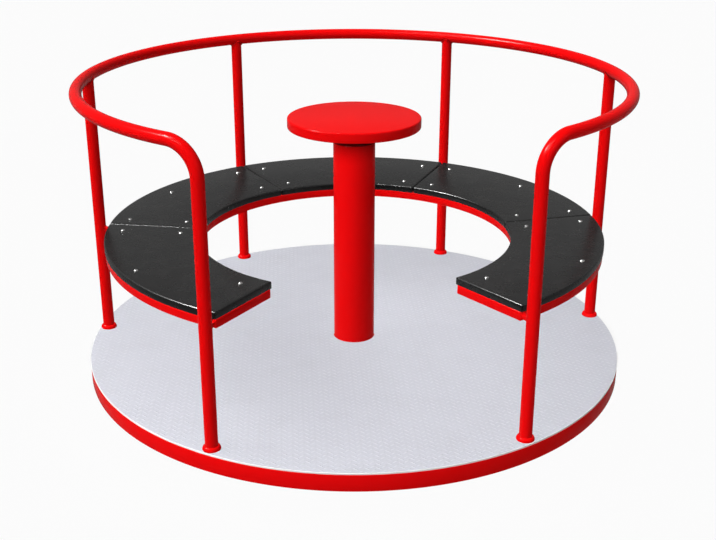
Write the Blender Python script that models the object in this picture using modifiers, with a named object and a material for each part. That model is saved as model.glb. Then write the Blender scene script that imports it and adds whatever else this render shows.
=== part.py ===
# A playground roundabout: a turning deck with a ring of seats and a handrail, and a fixed hand wheel.
# Metres, +Z up. The origin is on the turning axis at ground level, and the entrance faces -Y.

import math

import bmesh
import bpy
from mathutils import Matrix, Vector

# Fits
GAP = 0.0003                   # between pieces that touch
MERGE = 0.00002                # vertices closer than this are one

# Handrail and posts
TUBE_RADIUS = 0.016            # 32 mm steel tube
RAIL_CIRCLE = 0.7255           # the rail and the six posts stand on this circle
RAIL_HEIGHT = 0.8752
BEND_RADIUS = 0.080            # where a front post turns into the rail
FRONT_POST = -58.8             # angle of the right front post; 0 is +X and 90 is the back
SIDE_POST = 7.2
BACK_POST = 62.1
COLLAR_RADIUS = 0.0225
COLLAR_HEIGHT = 0.010

# Turning deck
DECK_RADIUS = 0.750
DECK_TOP = 0.130
DECK_THICKNESS = 0.005
RIM_RADIUS = 0.7495
RIM_THICKNESS = 0.0045
RIM_BOTTOM = 0.0803
SPOKE_WIDTH = 0.040
SPOKE_DEPTH = 0.040
HUB_RADIUS = 0.090
HUB_BOTTOM = 0.070
SLEEVE_RADIUS = 0.0575
SLEEVE_BORE = 0.050
SLEEVE_BOTTOM = 0.060
SLEEVE_TOP = 0.7088

# Fixed post and hand wheel
FLANGE_RADIUS = 0.275
FLANGE_THICKNESS = 0.012
AXLE_RADIUS = 0.042
SEAT_RING_RADIUS = 0.068
SEAT_RING_BOTTOM = 0.045
BOSS_RADIUS = 0.075
BOSS_THICKNESS = 0.012
WHEEL_RADIUS = 0.182
WHEEL_BOTTOM = 0.749
WHEEL_TOP = 0.7766
WHEEL_EDGE = 0.004

# Ring of seats
SEAT_TOP = 0.4681
JOINT_CENTRE = Vector((0.0, -0.09, 0.0))    # joints and ends of the seats point at this place
OPENING_CENTRE = Vector((0.0, -0.045, 0.0)) # the seats' inner edge is a circle round this one
SEAT_MIDDLE = 0.56             # smaller circles than this belong to the inner edge
SEAT_END = -54.5               # direction of the right end, seen from the joints' centre
SIDE_JOINT = 10.9
BACK_JOINT = 64.4
PANEL_THICKNESS = 0.019
PANEL_INNER = 0.4274
PANEL_OUTER = 0.6868
PANEL_EDGE = 0.003
PANEL_JOINT = 0.0025           # open joint between two panels, at their outer edge
FRAME_OUTER = 0.6848
FRAME_INNER = 0.4311
FRAME_DEPTH = 0.0225
FRAME_WALL = 0.005
OUTER_SHELF = 0.0705           # width of the outer angle's flat leg
INNER_SHELF = 0.065
END_BAR_WIDTH = 0.025
CROSS_BAR_WIDTH = 0.040
LUG_WIDTH = 0.012              # a lug ties the frame to each post
LUG_DEPTH = 0.012
LUG_SHIFT = 0.007              # the two front lugs sit this far off the middle of their posts

# Fineness of the facets
TUBE_SIDES = 16
ARC_STEP = math.radians(4.0)
SQUARE_END = math.radians(0.2)  # a short step that keeps a tube's end face square to the rail's circle
BEND_STEPS = 8
DECK_STEPS = 96
COLUMN_STEPS = 48
SAG = 0.0007                   # a facet's middle lies less than this inside its circle
SMOOTH_ANGLE = math.radians(35.0)

FINISHES = {                   # base colour, roughness, metallic
    "red_paint": ((0.80, 0.006, 0.010, 1.0), 0.28, 0.0),
    "tread_plate": ((0.62, 0.63, 0.68, 1.0), 0.36, 0.85),
    "black_board": ((0.035, 0.035, 0.038, 1.0), 0.45, 0.0),
    "zinc": ((0.55, 0.56, 0.57, 1.0), 0.45, 0.90),
}


# Scene and materials

def clear_scene():
    for obj in list(bpy.data.objects):
        bpy.data.objects.remove(obj, do_unlink=True)


def collection(name):
    made = bpy.data.collections.new(name)
    bpy.context.scene.collection.children.link(made)
    return made


def add(name, data, home):
    obj = bpy.data.objects.new(name, data)
    home.objects.link(obj)
    return obj


def paint(obj, kind):
    colour, roughness, metallic = FINISHES[kind]
    material = bpy.data.materials.new(obj.name + "_" + kind)
    material.use_nodes = True
    shader = material.node_tree.nodes["Principled BSDF"]
    shader.inputs["Base Color"].default_value = colour
    shader.inputs["Roughness"].default_value = roughness
    shader.inputs["Metallic"].default_value = metallic
    obj.data.materials.append(material)


# Shaping

def around(radius, angle, height):
    return Vector((radius * math.cos(angle), radius * math.sin(angle), height))


def settle(obj, kind=None):
    # The evaluated shape becomes a plain welded mesh, smooth on its rounds and crisp at its corners
    bpy.context.view_layer.update()
    depsgraph = bpy.context.evaluated_depsgraph_get()
    mesh = bpy.data.meshes.new_from_object(obj.evaluated_get(depsgraph), depsgraph=depsgraph)
    bm = bmesh.new()
    bm.from_mesh(mesh)
    bmesh.ops.remove_doubles(bm, verts=bm.verts, dist=MERGE)
    bmesh.ops.recalc_face_normals(bm, faces=bm.faces)
    bm.to_mesh(mesh)
    bm.free()
    mesh.shade_smooth()
    mesh.set_sharp_from_angle(angle=SMOOTH_ANGLE)
    name = obj.name
    home = obj.users_collection[0]
    place = obj.matrix_world.copy()
    bpy.data.objects.remove(obj, do_unlink=True)
    mesh.name = name
    solid = add(name, mesh, home)
    solid.matrix_world = place
    if kind is not None:
        paint(solid, kind)
    return solid


def turned(name, profile, kind, steps, closed=True):
    # The profile is at +X and runs down its outer side; a closed one makes a ring
    bm = bmesh.new()
    points = [bm.verts.new((radius, 0.0, height)) for radius, height in profile]
    for first, second in zip(points, points[1:]):
        bm.edges.new((first, second))
    if closed:
        bm.edges.new((points[-1], points[0]))
    mesh = bpy.data.meshes.new(name)
    bm.to_mesh(mesh)
    bm.free()
    obj = add(name, mesh, parts)
    screw = obj.modifiers.new("Turn", "SCREW")
    screw.steps = steps
    screw.render_steps = steps
    screw.use_merge_vertices = True
    screw.merge_threshold = MERGE
    return settle(obj, kind)


def ring(name, inner, outer, bottom, top, kind, steps):
    profile = [(outer, top), (outer, bottom), (inner, bottom), (inner, top)]
    return turned(name, profile, kind, steps)


def disc(name, radius, bottom, top, kind, steps):
    profile = [(0.0, top), (radius, top), (radius, bottom), (0.0, bottom)]
    return turned(name, profile, kind, steps, closed=False)


def reach_to(start, turn, radius):
    # Distance from a place, in one direction, to a circle of the seats
    centre = OPENING_CENTRE if radius < SEAT_MIDDLE else Vector((0.0, 0.0, 0.0))
    offset = start - centre
    half = offset.dot(around(1.0, turn, 0.0))
    return math.sqrt(half * half - offset.length_squared + radius * radius) - half


def seat_point(radius, turn, height):
    reach = reach_to(JOINT_CENTRE, turn, radius)
    return JOINT_CENTRE + around(reach, turn, height)


def swept(name, outline, start, end, kind, edge=0.0, home=None):
    # An outline of (radius, height) points carried round the seats from one direction to another
    bm = bmesh.new()
    corners = [bm.verts.new((radius, 0.0, height)) for radius, height in outline]
    bm.faces.new(corners)
    bmesh.ops.rotate(bm, verts=bm.verts, cent=(0, 0, 0), matrix=Matrix.Rotation(start, 3, "Z"))
    steps = math.ceil(abs(end - start) / ARC_STEP)
    geometry = bm.verts[:] + bm.edges[:] + bm.faces[:]
    bmesh.ops.spin(bm, geom=geometry, cent=(0, 0, 0), axis=(0, 0, 1), angle=end - start, steps=steps)
    for vert in bm.verts:
        turn = math.atan2(vert.co.y, vert.co.x)
        vert.co = seat_point(vert.co.xy.length, turn, vert.co.z)
    bmesh.ops.recalc_face_normals(bm, faces=bm.faces)
    mesh = bpy.data.meshes.new(name)
    bm.to_mesh(mesh)
    bm.free()
    obj = add(name, mesh, home or parts)
    if edge:
        bevel = obj.modifiers.new("Rounded edges", "BEVEL")
        bevel.width = edge
        bevel.segments = 1
        bevel.limit_method = "ANGLE"
        bevel.angle_limit = SMOOTH_ANGLE
    return settle(obj, kind)


def saw(obj, point, normal, reach):
    # Within reach of the point, what lies on the normal's side is cut away and the cut is closed
    bm = bmesh.new()
    bm.from_mesh(obj.data)
    near = {corner for corner in bm.verts if (corner.co - point).length < reach}
    geometry = list(near)
    geometry += [edge for edge in bm.edges if near.issuperset(edge.verts)]
    geometry += [face for face in bm.faces if near.issuperset(face.verts)]
    cut = bmesh.ops.bisect_plane(
        bm, geom=geometry, plane_co=point, plane_no=normal, clear_outer=True)
    edges = [item for item in cut["geom_cut"] if isinstance(item, bmesh.types.BMEdge)]
    bmesh.ops.holes_fill(bm, edges=edges)
    bmesh.ops.recalc_face_normals(bm, faces=bm.faces)
    bm.to_mesh(obj.data)
    bm.free()
    obj.data.set_sharp_from_angle(angle=SMOOTH_ANGLE)


def cut(obj, tool):
    taken = obj.modifiers.new(tool.name, "BOOLEAN")
    taken.operation = "DIFFERENCE"
    taken.solver = "EXACT"
    taken.object = tool


def hide(tool):
    tool.hide_render = True
    tool.display_type = "WIRE"
    return tool


def bar(name, size, centre, angle, kind):
    # A bar whose length lies along the radius at the given angle
    mesh = bpy.data.meshes.new(name)
    bm = bmesh.new()
    bmesh.ops.create_cube(bm, size=1.0, matrix=Matrix.Diagonal((*size, 1.0)))
    bm.to_mesh(mesh)
    bm.free()
    obj = add(name, mesh, parts)
    obj.location = centre
    obj.rotation_euler = (0.0, 0.0, angle)
    if kind is not None:
        paint(obj, kind)
    return obj


def tube(name, path, radius, home):
    # A bent round bar along a path, with closed ends
    curve = bpy.data.curves.new(name, "CURVE")
    curve.dimensions = "3D"
    curve.bevel_depth = radius
    curve.bevel_resolution = TUBE_SIDES // 2 - 2
    curve.use_fill_caps = True
    spline = curve.splines.new("POLY")
    spline.points.add(len(path) - 1)
    for point, place in zip(spline.points, path):
        point.co = (*place, 1.0)
    return add(name, curve, home)


# Handrail

def rail_path(start, end):
    steps = math.ceil(abs(end - start) / ARC_STEP)
    square = math.copysign(SQUARE_END, end - start)
    angles = [start, start + square]
    angles += [start + (end - start) * step / steps for step in range(1, steps)]
    angles += [end - square, end]
    return [around(RAIL_CIRCLE, angle, RAIL_HEIGHT) for angle in angles]


def front_post_path(angle, turn):
    # Up from the deck, then a quarter bend that follows the rail's circle
    path = [around(RAIL_CIRCLE, angle, DECK_TOP + GAP)]
    for step in range(BEND_STEPS + 1):
        swing = math.pi / 2 * step / BEND_STEPS
        height = RAIL_HEIGHT - BEND_RADIUS * (1.0 - math.sin(swing))
        travel = BEND_RADIUS * (1.0 - math.cos(swing)) / RAIL_CIRCLE
        path.append(around(RAIL_CIRCLE, angle + turn * travel, height))
    path.append(around(RAIL_CIRCLE, angle + turn * (travel + SQUARE_END), RAIL_HEIGHT))
    return path


def straight_post(name, angle, relief):
    # A post whose head is cut to the underside of the rail
    length = RAIL_HEIGHT - DECK_TOP - GAP
    mesh = bpy.data.meshes.new(name)
    bm = bmesh.new()
    bmesh.ops.create_cone(
        bm, cap_ends=True, segments=TUBE_SIDES, radius1=TUBE_RADIUS, radius2=TUBE_RADIUS,
        depth=length, matrix=Matrix.Translation((0.0, 0.0, length / 2)))
    bm.to_mesh(mesh)
    bm.free()
    obj = add(name, mesh, parts)
    obj.location = around(RAIL_CIRCLE, angle, DECK_TOP + GAP)
    obj.rotation_euler = (0.0, 0.0, angle)
    cut(obj, relief)
    return settle(obj, "red_paint")


def foot_collar(name, angle):
    # A low flared ring that covers the weld between a post and the deck
    bore = TUBE_RADIUS + 2 * GAP
    bottom = DECK_TOP + GAP
    top = bottom + COLLAR_HEIGHT
    flare = COLLAR_RADIUS - bore
    profile = [
        (bore + 0.35 * flare, top),
        (bore + 0.75 * flare, top - 0.25 * COLLAR_HEIGHT),
        (COLLAR_RADIUS, bottom + 0.35 * COLLAR_HEIGHT),
        (COLLAR_RADIUS, bottom),
        (bore, bottom),
        (bore, top),
    ]
    collar = turned(name, profile, "red_paint", 2 * TUBE_SIDES)
    collar.location = around(RAIL_CIRCLE, angle, 0.0)


def post_angles():
    # Right and left angle of each pair of posts
    pairs = (("front", FRONT_POST), ("side", SIDE_POST), ("back", BACK_POST))
    return {place: (math.radians(angle), math.radians(180.0 - angle)) for place, angle in pairs}


def handrail():
    posts = post_angles()
    bend = BEND_RADIUS / RAIL_CIRCLE + SQUARE_END
    joint = GAP / RAIL_CIRCLE
    path = []
    for hand, turn, pick in (("right", 1, 0), ("left", -1, 1)):
        front, side, back = (posts[key][pick] for key in ("front", "side", "back"))
        rail_side = rail_path(front + turn * (bend + joint), side - turn * joint / 2)
        rail_rear = rail_path(side + turn * joint / 2, back - turn * joint / 2)
        settle(tube("rail_side_" + hand, rail_side, TUBE_RADIUS, parts), "red_paint")
        settle(tube("rail_back_" + hand, rail_rear, TUBE_RADIUS, parts), "red_paint")
        bent = front_post_path(front, turn)
        settle(tube("front_post_" + hand, bent, TUBE_RADIUS, parts), "red_paint")
        half = rail_side + rail_rear
        path = path + (half if turn > 0 else half[::-1])
        if turn > 0:
            rear = rail_path(back + joint / 2, math.pi - back - joint / 2)
            settle(tube("rail_back", rear, TUBE_RADIUS, parts), "red_paint")
            path += rear
    relief = hide(settle(tube("rail_relief", path, TUBE_RADIUS + 2 * GAP, cutters)))
    for hand, pick in (("right", 0), ("left", 1)):
        straight_post("post_" + hand, posts["side"][pick], relief)
        straight_post("post_back_" + hand, posts["back"][pick], relief)
        foot_collar("foot_collar_front_" + hand, posts["front"][pick])
        foot_collar("foot_collar_" + hand, posts["side"][pick])
        foot_collar("foot_collar_back_" + hand, posts["back"][pick])


# Deck

def deck():
    bore = SLEEVE_RADIUS + GAP
    underside = DECK_TOP - DECK_THICKNESS
    ring("deck_plate", bore, DECK_RADIUS, underside, DECK_TOP, "tread_plate", DECK_STEPS)
    top = underside - GAP
    inner = RIM_RADIUS - RIM_THICKNESS
    ring("rim_band", inner, RIM_RADIUS, RIM_BOTTOM, top, "red_paint", DECK_STEPS)
    ring("hub_ring", bore, HUB_RADIUS, HUB_BOTTOM, top, "red_paint", COLUMN_STEPS)
    ring("column_sleeve", SLEEVE_BORE, SLEEVE_RADIUS, SLEEVE_BOTTOM, SLEEVE_TOP,
         "red_paint", COLUMN_STEPS)
    reach = (inner - 2 * GAP) * math.cos(SPOKE_WIDTH / 2 / inner) - GAP
    start = HUB_RADIUS + GAP
    size = (reach - start, SPOKE_WIDTH, SPOKE_DEPTH)
    for place, angle in (("front", FRONT_POST), ("side", SIDE_POST), ("back", BACK_POST)):
        for hand in ("right", "left"):
            turn = math.radians(angle if hand == "right" else 180.0 - angle)
            name = "spoke_" + hand if place == "side" else "spoke_" + place + "_" + hand
            bar(name, size, around((start + reach) / 2, turn, top - SPOKE_DEPTH / 2), turn, "red_paint")


# Fixed post

def fixed_post():
    disc("ground_flange", FLANGE_RADIUS, 0.0, FLANGE_THICKNESS, "zinc", COLUMN_STEPS)
    foot = FLANGE_THICKNESS + GAP
    head = WHEEL_BOTTOM - GAP
    disc("axle_tube", AXLE_RADIUS, foot, head, "red_paint", COLUMN_STEPS)
    bore = AXLE_RADIUS + GAP
    ring("bearing_seat", bore, SEAT_RING_RADIUS, SEAT_RING_BOTTOM, SLEEVE_BOTTOM - GAP,
         "zinc", COLUMN_STEPS)
    ring("wheel_boss", bore, BOSS_RADIUS, head - BOSS_THICKNESS, head, "red_paint", COLUMN_STEPS)
    corners = []
    for centre, start in ((WHEEL_TOP - WHEEL_EDGE, 90.0), (WHEEL_BOTTOM + WHEEL_EDGE, 0.0)):
        for step in range(4):
            swing = math.radians(start - 30.0 * step)
            radius = WHEEL_RADIUS - WHEEL_EDGE * (1.0 - math.cos(swing))
            corners.append((radius, centre + WHEEL_EDGE * math.sin(swing)))
    profile = [(0.0, WHEEL_TOP)] + corners + [(0.0, WHEEL_BOTTOM)]
    turned("hand_wheel", profile, "red_paint", COLUMN_STEPS, closed=False)


# Seats

def seat_panels():
    top = SEAT_TOP
    bottom = SEAT_TOP - PANEL_THICKNESS
    outline = [(PANEL_INNER, bottom), (PANEL_OUTER, bottom), (PANEL_OUTER, top), (PANEL_INNER, top)]
    joint = PANEL_JOINT / PANEL_OUTER / 2
    end, side, back = (math.radians(angle) for angle in (SEAT_END, SIDE_JOINT, BACK_JOINT))
    bays = {
        "seat_front_right": (end, side - joint),
        "seat_back_right": (side + joint, back - joint),
        "seat_back": (back + joint, math.pi - back - joint),
        "seat_back_left": (math.pi - back + joint, math.pi - side - joint),
        "seat_front_left": (math.pi - side + joint, math.pi - end),
    }
    for name, (start, stop) in bays.items():
        swept(name, outline, start, stop, "black_board", PANEL_EDGE)


def angle_outline(upright, shelf, top):
    # An angle section: an upright leg from one radius and a flat leg that reaches to another
    bottom = top - FRAME_DEPTH
    wall = math.copysign(FRAME_WALL, shelf - upright)
    return [
        (upright, bottom), (upright + wall, bottom), (upright + wall, top - FRAME_WALL),
        (shelf, top - FRAME_WALL), (shelf, top), (upright, top)]


def cross_piece(name, turn, inner, outer, sides, height, depth):
    # A bar between two circles of the seats, with its long sides at the given distances off the line
    square = around(1.0, turn + math.pi / 2, 0.0)
    edges = [JOINT_CENTRE + square * side for side in sides]
    near = max(reach_to(edge, turn, inner) for edge in edges)
    far = min(reach_to(edge, turn, outer) for edge in edges)
    centre = (edges[0] + edges[1]) / 2 + around((near + far) / 2, turn, height)
    bar(name, (far - near, sides[1] - sides[0], depth), centre, turn, "red_paint")


def seat_frame():
    top = SEAT_TOP - PANEL_THICKNESS - GAP
    end = math.radians(SEAT_END)
    sections = {
        "seat_frame_outer": angle_outline(FRAME_OUTER, FRAME_OUTER - OUTER_SHELF, top),
        "seat_frame_inner": angle_outline(FRAME_INNER, FRAME_INNER + INNER_SHELF, top),
    }
    for name, outline in sections.items():
        angle = swept(name, outline, end, math.pi - end, "red_paint")
        for turn, side in ((end, -1), (math.pi - end, 1)):
            square = around(side, turn + math.pi / 2, 0.0)
            inner = seat_point(FRAME_INNER, turn, top)
            outer = seat_point(FRAME_OUTER, turn, top)
            saw(angle, (inner + outer) / 2 - square * (END_BAR_WIDTH + GAP), square, 0.25)
    middle = top - FRAME_DEPTH / 2
    for hand, turn, sides in (
            ("right", end, (0.0, END_BAR_WIDTH)), ("left", math.pi - end, (-END_BAR_WIDTH, 0.0))):
        cross_piece("end_bar_" + hand, turn, FRAME_INNER + GAP, FRAME_OUTER - SAG, sides, middle,
                    FRAME_DEPTH)
    depth = FRAME_DEPTH - FRAME_WALL - GAP
    inner = FRAME_INNER + FRAME_WALL + GAP
    outer = FRAME_OUTER - FRAME_WALL - SAG - GAP
    sides = (-CROSS_BAR_WIDTH / 2, CROSS_BAR_WIDTH / 2)
    for place, angle in (("side", SIDE_JOINT), ("back", BACK_JOINT)):
        for hand in ("right", "left"):
            turn = math.radians(angle if hand == "right" else 180.0 - angle)
            cross_piece("cross_bar_" + place + "_" + hand, turn, inner, outer, sides,
                        top - FRAME_DEPTH + depth / 2, depth)


def post_relief():
    # Six round bars a little thicker than the posts
    bm = bmesh.new()
    for pair in post_angles().values():
        for angle in pair:
            bmesh.ops.create_cone(
                bm, cap_ends=True, segments=4 * TUBE_SIDES, radius1=TUBE_RADIUS + GAP,
                radius2=TUBE_RADIUS + GAP, depth=0.2,
                matrix=Matrix.Translation(around(RAIL_CIRCLE, angle, SEAT_TOP)))
    mesh = bpy.data.meshes.new("post_relief")
    bm.to_mesh(mesh)
    bm.free()
    return hide(add("post_relief", mesh, cutters))


def post_lugs():
    # Short bars, shaped to the frame at one end and to the post at the other
    top = SEAT_TOP - PANEL_THICKNESS
    bottom = top - 2 * FRAME_DEPTH
    face = FRAME_OUTER + GAP
    outline = [(face, top), (face, bottom), (face - 0.03, bottom), (face - 0.03, top)]
    end = math.radians(SEAT_END)
    frame_relief = hide(swept("frame_relief", outline, end, math.pi - end, None, home=cutters))
    round_relief = post_relief()
    height = top - GAP - FRAME_DEPTH / 2
    length = RAIL_CIRCLE - FRAME_OUTER + 0.005
    for place, pair in post_angles().items():
        for hand, angle, side in zip(("right", "left"), pair, (LUG_SHIFT, -LUG_SHIFT)):
            name = "lug_" + hand if place == "side" else "lug_" + place + "_" + hand
            centre = around(RAIL_CIRCLE - length / 2, angle, height)
            if place == "front":
                centre += around(side, angle + math.pi / 2, 0.0)
            lug = bar(name, (length, LUG_WIDTH, LUG_DEPTH), centre, angle, None)
            cut(lug, frame_relief)
            cut(lug, round_relief)
            settle(lug, "red_paint")


clear_scene()
parts = collection("playground_roundabout")
cutters = collection("cutters")
fixed_post()
deck()
handrail()
seat_panels()
seat_frame()
post_lugs()
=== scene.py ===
import bmesh
import bpy
import math
from mathutils import Matrix, Vector


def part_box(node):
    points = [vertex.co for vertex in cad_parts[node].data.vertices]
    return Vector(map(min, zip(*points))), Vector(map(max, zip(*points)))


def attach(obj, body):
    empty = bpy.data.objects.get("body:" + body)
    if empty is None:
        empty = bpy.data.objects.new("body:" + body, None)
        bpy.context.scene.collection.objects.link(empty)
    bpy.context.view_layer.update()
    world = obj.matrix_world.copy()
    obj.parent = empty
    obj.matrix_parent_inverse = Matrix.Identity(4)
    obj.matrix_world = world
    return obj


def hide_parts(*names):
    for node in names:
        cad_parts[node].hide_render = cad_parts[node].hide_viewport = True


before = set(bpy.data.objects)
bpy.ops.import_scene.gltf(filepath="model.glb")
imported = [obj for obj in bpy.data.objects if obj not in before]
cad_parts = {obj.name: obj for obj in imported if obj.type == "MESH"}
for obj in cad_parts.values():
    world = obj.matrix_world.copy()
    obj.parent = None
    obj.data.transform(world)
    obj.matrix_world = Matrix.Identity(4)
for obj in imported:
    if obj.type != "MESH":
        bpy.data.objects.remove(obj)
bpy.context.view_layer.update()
print("frame loaded,", len(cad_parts), "nodes")

upAxis = (0.0, 0.0, 1.0)
origin = (0.0, 0.0, 0.0)
white = (1.0, 1.0, 1.0, 1.0)


# Shader building

def addNode(tree, kind, inputs=None, **settings):
    made = tree.nodes.new(kind)
    for label, value in settings.items():
        setattr(made, label, value)
    for label, value in (inputs or {}).items():
        if isinstance(value, bpy.types.NodeSocket):
            tree.links.new(value, made.inputs[label])
        else:
            made.inputs[label].default_value = value
    return made


def maths(tree, operation, first, second=0.0):
    return addNode(tree, "ShaderNodeMath", {0: first, 1: second}, operation=operation).outputs[0]


def vectorMaths(tree, operation, first, second=None, result="Vector"):
    inputs = {0: first} if second is None else {0: first, 1: second}
    return addNode(tree, "ShaderNodeVectorMath", inputs, operation=operation).outputs[result]


def mixColors(tree, factor, first, second):
    made = addNode(tree, "ShaderNodeMix", {0: factor, 6: first, 7: second}, data_type="RGBA")
    return made.outputs[2]


def remap(tree, value, fromLow, fromHigh, toLow=0.0, toHigh=1.0, smooth=False):
    made = addNode(tree, "ShaderNodeMapRange",
                   {"Value": value, "From Min": fromLow, "From Max": fromHigh,
                    "To Min": toLow, "To Max": toHigh})
    if smooth:
        made.interpolation_type = "SMOOTHSTEP"
    return made.outputs["Result"]


def swingAbout(tree, noise, amount, base):
    # a noise between 0 and 1 becomes a swing to both sides of a value
    swing = maths(tree, "MULTIPLY", maths(tree, "SUBTRACT", noise, 0.5), amount)
    return maths(tree, "ADD", swing, base)


def objectPlace(tree):
    return addNode(tree, "ShaderNodeTexCoord").outputs["Object"]


def heightOf(tree, vector):
    return addNode(tree, "ShaderNodeSeparateXYZ", {0: vector}).outputs["Z"]


def upwardFacing(tree):
    # 1 on a level top, 0 on an upright wall
    return heightOf(tree, addNode(tree, "ShaderNodeNewGeometry").outputs["Normal"])


def objectNoise(tree, scale, detail=3.0, roughness=0.5, stretch=None):
    where = objectPlace(tree)
    if stretch:
        where = addNode(tree, "ShaderNodeMapping", {"Vector": where, "Scale": stretch}).outputs[0]
    noise = addNode(tree, "ShaderNodeTexNoise",
                    {"Vector": where, "Scale": scale, "Detail": detail, "Roughness": roughness})
    return noise.outputs[0]


def newGroup(name, inputs, outputs):
    tree = bpy.data.node_groups.new(name, "ShaderNodeTree")
    for label, kind, value in inputs:
        socket = tree.interface.new_socket(name=label, in_out="INPUT",
                                           socket_type="NodeSocket" + kind)
        socket.default_value = value
    for label, kind in outputs:
        tree.interface.new_socket(name=label, in_out="OUTPUT", socket_type="NodeSocket" + kind)
    entry = tree.nodes.new("NodeGroupInput")
    leave = tree.nodes.new("NodeGroupOutput")
    return tree, entry, leave


def useGroup(tree, group, inputs):
    return addNode(tree, "ShaderNodeGroup", inputs, node_tree=group).outputs


# Shared effects

def buildPeel():
    # the fine ripple of powder coat or of a moulded skin
    tree, entry, leave = newGroup("Peel", [("Scale", "Float", 400.0), ("Depth", "Float", 0.00003)],
                                  [("Normal", "Vector")])
    ripple = objectNoise(tree, entry.outputs["Scale"], detail=2.0)
    bump = addNode(tree, "ShaderNodeBump", {"Height": ripple, "Distance": entry.outputs["Depth"]})
    tree.links.new(bump.outputs[0], leave.inputs["Normal"])
    return tree


def buildTone():
    # a colour that drifts a little lighter and darker over the surface
    tree, entry, leave = newGroup(
        "Tone", [("Color", "Color", white), ("Amount", "Float", 0.05), ("Scale", "Float", 6.0)],
        [("Color", "Color")])
    drift = objectNoise(tree, entry.outputs["Scale"], detail=4.0, roughness=0.6)
    value = swingAbout(tree, drift, entry.outputs["Amount"], 1.0)
    shade = addNode(tree, "ShaderNodeHueSaturation",
                    {"Color": entry.outputs["Color"], "Value": value})
    tree.links.new(shade.outputs[0], leave.inputs["Color"])
    return tree


def buildGloss():
    # roughness that wanders between handled and untouched places
    tree, entry, leave = newGroup(
        "Gloss", [("Base", "Float", 0.3), ("Amount", "Float", 0.1), ("Scale", "Float", 9.0)],
        [("Roughness", "Float")])
    broad = objectNoise(tree, entry.outputs["Scale"], detail=5.0, roughness=0.65)
    value = swingAbout(tree, broad, entry.outputs["Amount"], entry.outputs["Base"])
    tree.links.new(value, leave.inputs["Roughness"])
    return tree


def buildDust():
    # thin dust that stays on faces that look up
    tree, entry, leave = newGroup(
        "Dust", [("Color", "Color", white), ("Dust", "Color", (0.5, 0.48, 0.45, 1)),
                 ("Amount", "Float", 0.1), ("Scale", "Float", 14.0)],
        [("Color", "Color")])
    upward = remap(tree, upwardFacing(tree), 0.55, 0.95, smooth=True)
    cloud = remap(tree, objectNoise(tree, entry.outputs["Scale"], detail=6.0, roughness=0.7),
                  0.42, 0.72, smooth=True)
    mask = maths(tree, "MULTIPLY", maths(tree, "MULTIPLY", upward, cloud), entry.outputs["Amount"])
    color = mixColors(tree, mask, entry.outputs["Color"], entry.outputs["Dust"])
    tree.links.new(color, leave.inputs["Color"])
    return tree


def buildStuds():
    # one lattice of raised lozenges, turned to one side
    tree, entry, leave = newGroup(
        "Studs", [("Pitch", "Vector", (0.03, 0.021, 1.0)), ("Shift", "Vector", origin),
                  ("Turn", "Float", 0.9), ("Half Size", "Vector", (0.009, 0.0024, 1.0))],
        [("Height", "Float")])
    pitch = entry.outputs["Pitch"]
    cells = vectorMaths(tree, "DIVIDE", objectPlace(tree), pitch)
    moved = vectorMaths(tree, "ADD", cells, entry.outputs["Shift"])
    local = vectorMaths(tree, "FRACTION", moved)
    centred = vectorMaths(tree, "SUBTRACT", local, (0.5, 0.5, 0.5))
    metres = vectorMaths(tree, "MULTIPLY", centred, pitch)
    flat = vectorMaths(tree, "MULTIPLY", metres, (1.0, 1.0, 0.0))
    turned = addNode(tree, "ShaderNodeVectorRotate",
                     {"Vector": flat, "Angle": entry.outputs["Turn"]},
                     rotation_type="Z_AXIS").outputs[0]
    shaped = vectorMaths(tree, "DIVIDE", turned, entry.outputs["Half Size"])
    away = vectorMaths(tree, "LENGTH", shaped, result="Value")
    rise = remap(tree, away, 1.0, 0.45, smooth=True)
    tree.links.new(rise, leave.inputs["Height"])
    return tree


peel = buildPeel()
tone = buildTone()
gloss = buildGloss()
dust = buildDust()
studs = buildStuds()
print("shared effects built")


# Materials

def newMaterial(name, **values):
    material = bpy.data.materials.new(name)
    material.use_nodes = True
    shader = material.node_tree.nodes["Principled BSDF"]
    for label, value in values.items():
        shader.inputs[label.replace("_", " ")].default_value = value
    return material, material.node_tree, shader


def toned(tree, look, color):
    return useGroup(tree, tone, {"Color": color, "Amount": look["toneAmount"],
                                 "Scale": look["toneScale"]})["Color"]


def dusted(tree, look, color):
    return useGroup(tree, dust, {"Color": color, "Dust": look["dustColor"],
                                 "Amount": look["dustAmount"], "Scale": look["dustScale"]})["Color"]


def wandering(tree, look):
    return useGroup(tree, gloss, {"Base": look["roughness"], "Amount": look["roughnessSwing"],
                                  "Scale": look["roughnessScale"]})["Roughness"]


def giveSkin(tree, shader, look):
    tree.links.new(wandering(tree, look), shader.inputs["Roughness"])
    skin = useGroup(tree, peel, {"Scale": look["peelScale"], "Depth": look["peelDepth"]})["Normal"]
    tree.links.new(skin, shader.inputs["Normal"])


redPaintLook = {
    "color": (0.99, 0.0030, 0.0040, 1.0), "toneAmount": 0.07, "toneScale": 5.0,
    "bounce": (0.30, 0.27, 0.27, 1.0), "mirrored": (0.15, 0.05, 0.05, 1.0),
    # the next values set the painted shade in corners above a set height
    "paintedShadeReach": 0.10, "paintedShadeSamples": 12, "paintedShadeRange": (0.60, 0.96), "paintedShadeDepth": 0.05,
    "paintedShadeLow": 0.50, "paintedShadeFade": 0.12,
    "roughness": 0.19, "roughnessSwing": 0.08, "roughnessScale": 11.0,
    "peelScale": 420.0, "peelDepth": 0.000030,
    "dustColor": (0.80, 0.08, 0.07, 1.0), "dustAmount": 0.012, "dustScale": 14.0,
}


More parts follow.
